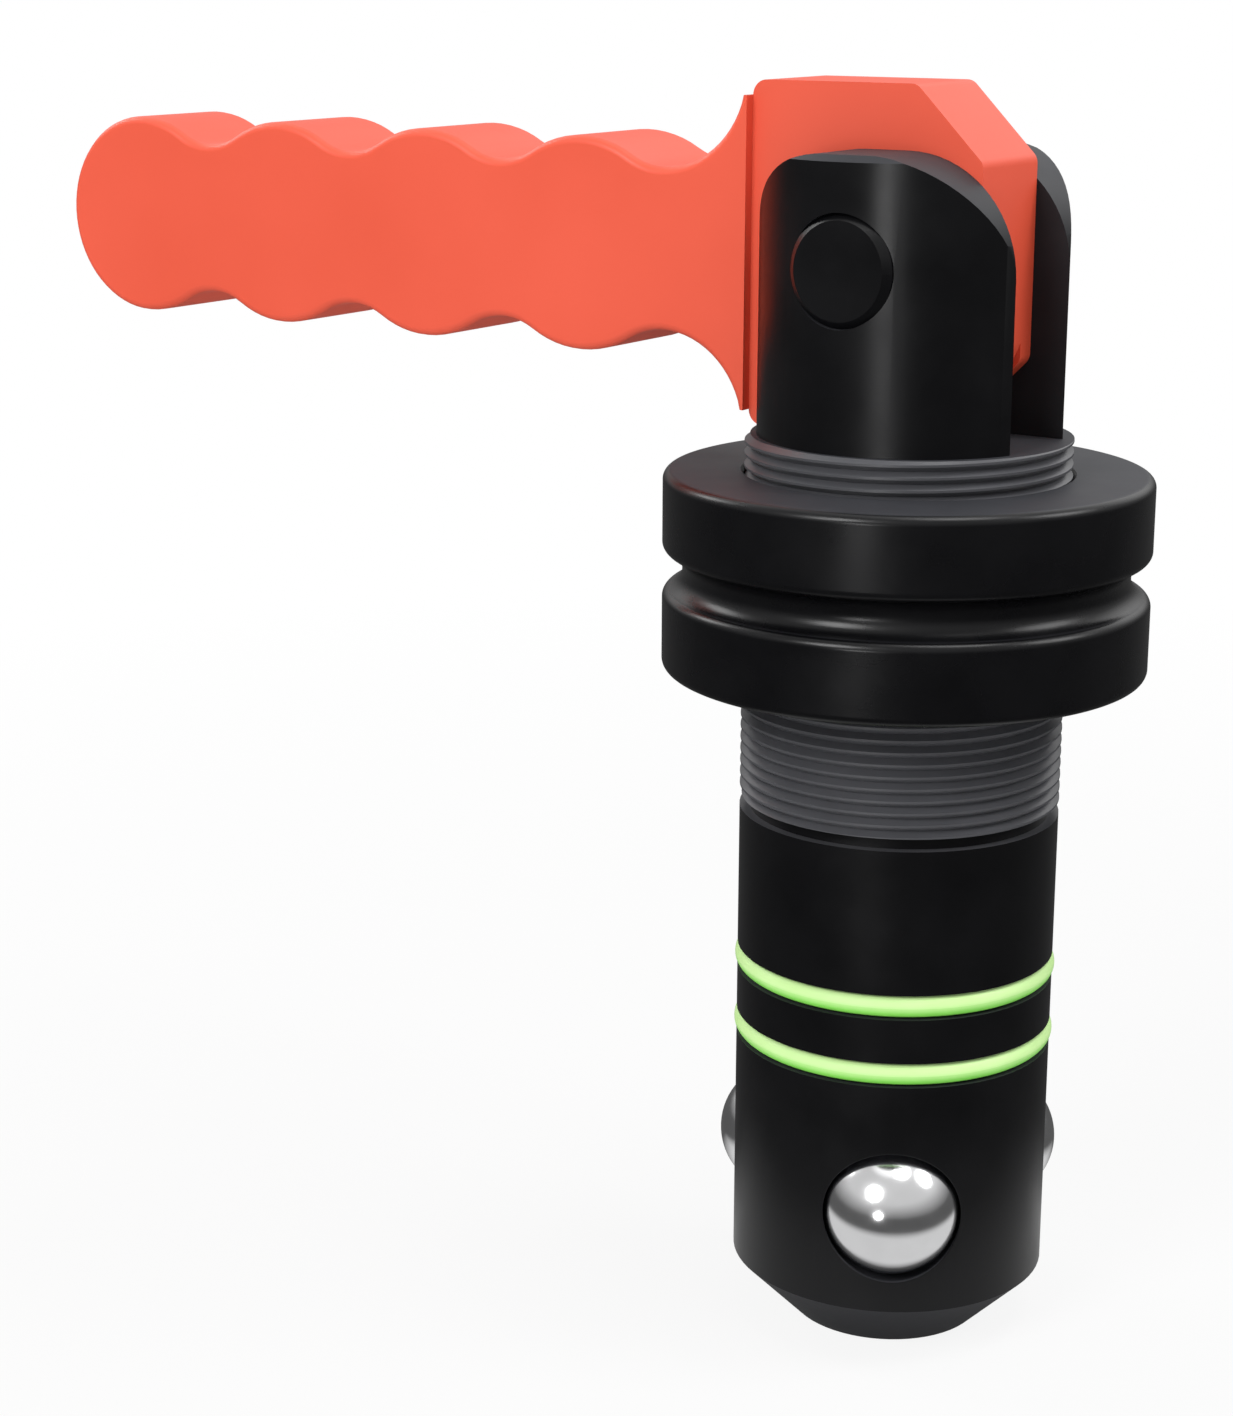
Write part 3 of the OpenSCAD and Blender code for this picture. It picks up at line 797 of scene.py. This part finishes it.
# %% What mirrors see of the sky
SKY_HEIGHTS = 0.0, 0.4
SKY_STRENGTHS = 0.16, 0.65
MIRRORED_SPOTS = ((-0.05, 0.074, 0.99), 1.2), ((-0.775, 0.256, 0.58), 1.0), ((0.039, 0.816, 0.58), 1.0)
SPOT_EDGE = math.cos(math.radians(30)), math.cos(math.radians(8))

world = bpy.data.worlds.new("studio")
bpy.context.scene.world = world
world.use_nodes = True
tree = world.node_tree
tree.nodes.clear()
sky = node(tree, "ShaderNodeTexCoord", (-1100, -200))
toward_sky = node(tree, "ShaderNodeSeparateXYZ", (-900, -200))
tree.links.new(sky.outputs["Generated"], toward_sky.inputs[0])
mirrored_sky = span(tree, toward_sky.outputs["Z"], (-700, -200), *SKY_HEIGHTS, *SKY_STRENGTHS)
for row, (direction, strength) in enumerate(MIRRORED_SPOTS):
    spot = (-1100, -700 - 200 * row)
    toward = node(tree, "ShaderNodeVectorMath", spot, operation="DOT_PRODUCT")
    toward.inputs[1].default_value = direction
    tree.links.new(sky.outputs["Generated"], toward.inputs[0])
    soft = span(tree, toward.outputs["Value"], (spot[0] + 200, spot[1]), *SPOT_EDGE, 0.0, strength)
    total = node(tree, "ShaderNodeMath", (spot[0] + 400, spot[1]), operation="ADD")
    tree.links.new(mirrored_sky, total.inputs[0])
    tree.links.new(soft, total.inputs[1])
    mirrored_sky = total.outputs[0]
print("soft spots that only mirrors see:", len(MIRRORED_SPOTS))

# %% Put the world together
WORLD_LIGHT = 0.34
side_light = span(tree, toward_sky.outputs["X"], (-700, -450), 0.0, 1.0, WORLD_LIGHT, 2 * WORLD_LIGHT)
backdrop = node(tree, "ShaderNodeBackground", (-100, 0), Color=(1, 1, 1, 1))
out = node(tree, "ShaderNodeOutputWorld", (100, 0))
tree.links.new(by_ray(tree, 1.0, mirrored_sky, side_light), backdrop.inputs["Strength"])
tree.links.new(backdrop.outputs[0], out.inputs["Surface"])
bpy.context.scene.view_settings.view_transform = "Standard"
print("nodes of the world:", len(tree.nodes))

# %% [markdown]
# ## Floor
# The bolt stands on a pale floor that has no end and shows only a soft shadow. It is a large flat
# grid. To the camera it glows nearly white, and fully white far off, so that no horizon shows; the
# rest of it is matt and takes the shadow. Shiny surfaces see a dark floor with a bright glowing ring
# before and beside the bolt, which lights the lower half of each ball, and a painted shadow under the
# bolt inside the ring. A floor that was white all over would wash out the black shank.

# %% Floor sheet
FLOOR_SIZE = 3.0
FLOOR_DROP = 0.02 * MM
floor_bm = bmesh.new()
bmesh.ops.create_grid(floor_bm, x_segments=1, y_segments=1, size=FLOOR_SIZE)
bmesh.ops.translate(floor_bm, verts=floor_bm.verts, vec=(0, 0, -FLOOR_DROP))
floor_mesh = bpy.data.meshes.new("pale_floor")
floor_bm.to_mesh(floor_mesh)
floor_bm.free()
floor = bpy.data.objects.new("pale_floor", floor_mesh)
bpy.context.scene.collection.objects.link(floor)
print("floor faces:", len(floor_mesh.polygons))

# %% White far off and a ring for mirrors
WHITE_REACH = 0.08, 0.3
WHITE_SHARE = 0.88, 1.0
RING_INSIDE = 0.0125, 0.016
RING_OUTSIDE = 0.036, 0.05
RING_BEHIND = -0.03, -0.014
# Painted shadow: mirrors see the floor dim under the bolt, inside the bright ring.
PAINTED_SHADOW_UNDER_BOLT, RING_BRIGHT, FLOOR_DARK = 0.2, 0.68, 0.1
paint = bpy.data.materials.new("pale_floor_paint")
paint.use_nodes = True
tree = paint.node_tree
tree.nodes.clear()
coords = node(tree, "ShaderNodeTexCoord", (-1300, -300))
reach = node(tree, "ShaderNodeVectorMath", (-1100, -300), operation="LENGTH")
toward = node(tree, "ShaderNodeVectorMath", (-1100, -1050), operation="DOT_PRODUCT")
toward.inputs[1].default_value = (-FORWARD.x, -FORWARD.y, 0)
tree.links.new(coords.outputs["Object"], reach.inputs[0])
tree.links.new(coords.outputs["Object"], toward.inputs[0])
far_white = span(tree, reach.outputs["Value"], (-900, -300), *WHITE_REACH, *WHITE_SHARE)
inside = span(tree, reach.outputs["Value"], (-900, -550), *RING_INSIDE, PAINTED_SHADOW_UNDER_BOLT, RING_BRIGHT)
outside = span(tree, reach.outputs["Value"], (-900, -800), *RING_OUTSIDE, RING_BRIGHT, FLOOR_DARK)
behind = span(tree, toward.outputs["Value"], (-900, -1050), *RING_BEHIND, FLOOR_DARK, RING_BRIGHT)
ring = node(tree, "ShaderNodeMath", (-700, -650), operation="MINIMUM")
front_ring = node(tree, "ShaderNodeMath", (-520, -650), operation="MINIMUM")
tree.links.new(inside, ring.inputs[0])
tree.links.new(outside, ring.inputs[1])
tree.links.new(ring.outputs[0], front_ring.inputs[0])
tree.links.new(behind, front_ring.inputs[1])
print("bright ring on the floor, in mm:", [round(r / MM, 1) for r in RING_INSIDE + RING_OUTSIDE])

# %% Mix the floor paint
matt = node(tree, "ShaderNodeBsdfDiffuse", (-100, 100), Color=(0.7, 0.7, 0.7, 1))
glow = node(tree, "ShaderNodeEmission", (-100, -100), Color=(1, 1, 1, 1))
mix = node(tree, "ShaderNodeMixShader", (100, 0))
out = node(tree, "ShaderNodeOutputMaterial", (300, 0))
tree.links.new(by_ray(tree, far_white, 1.0, 0.0), mix.inputs[0])
tree.links.new(by_ray(tree, 1.0, front_ring.outputs[0], 0.0), glow.inputs["Strength"])
tree.links.new(matt.outputs[0], mix.inputs[1])
tree.links.new(glow.outputs[0], mix.inputs[2])
tree.links.new(mix.outputs[0], out.inputs["Surface"])
floor_mesh.materials.append(paint)
print("nodes of the floor paint:", len(tree.nodes))

# %% [markdown]
# ## Lamps
# Five round soft lamps shape the piece. The key lamp lights the grip from the front left, and a
# small low one draws the narrow streak on the fork and the nut. The top and right lamps brighten
# the upper faces, and a weak left one lifts the far side. A sun lamp would cast a hard shadow,
# which the photograph doesn't have.

# %% Lamps
MIDDLE = (-0.02, 0, 0.06)
FORK_FOOT = (0, 0, 0.09)
LAMPS = (
    ("key_lamp", (-0.1, -0.8, 0.6), MIDDLE, 0.4, 4.5),
    ("low_lamp", (0.11, -0.8, 0.05), FORK_FOOT, 0.15, 0.9),
    ("top_lamp", (0.27, -0.03, 0.96), MIDDLE, 0.4, 2.6),
    ("right_lamp", (0.65, 0.33, 0.69), MIDDLE, 0.4, 2.8),
    ("left_lamp", (-0.82, -0.03, 0.57), MIDDLE, 0.3, 1.2),
)
for name, place, target, size, power in LAMPS:
    lamp_data = bpy.data.lights.new(name, "AREA")
    lamp_data.shape = "DISK"
    lamp_data.size = size
    lamp_data.energy = power
    lamp = bpy.data.objects.new(name, lamp_data)
    lamp.location = Vector(place)
    lamp.rotation_euler = (Vector(target) - Vector(place)).to_track_quat("-Z", "Y").to_euler()
    bpy.context.scene.collection.objects.link(lamp)
print("lamps:", [lamp[0] for lamp in LAMPS])
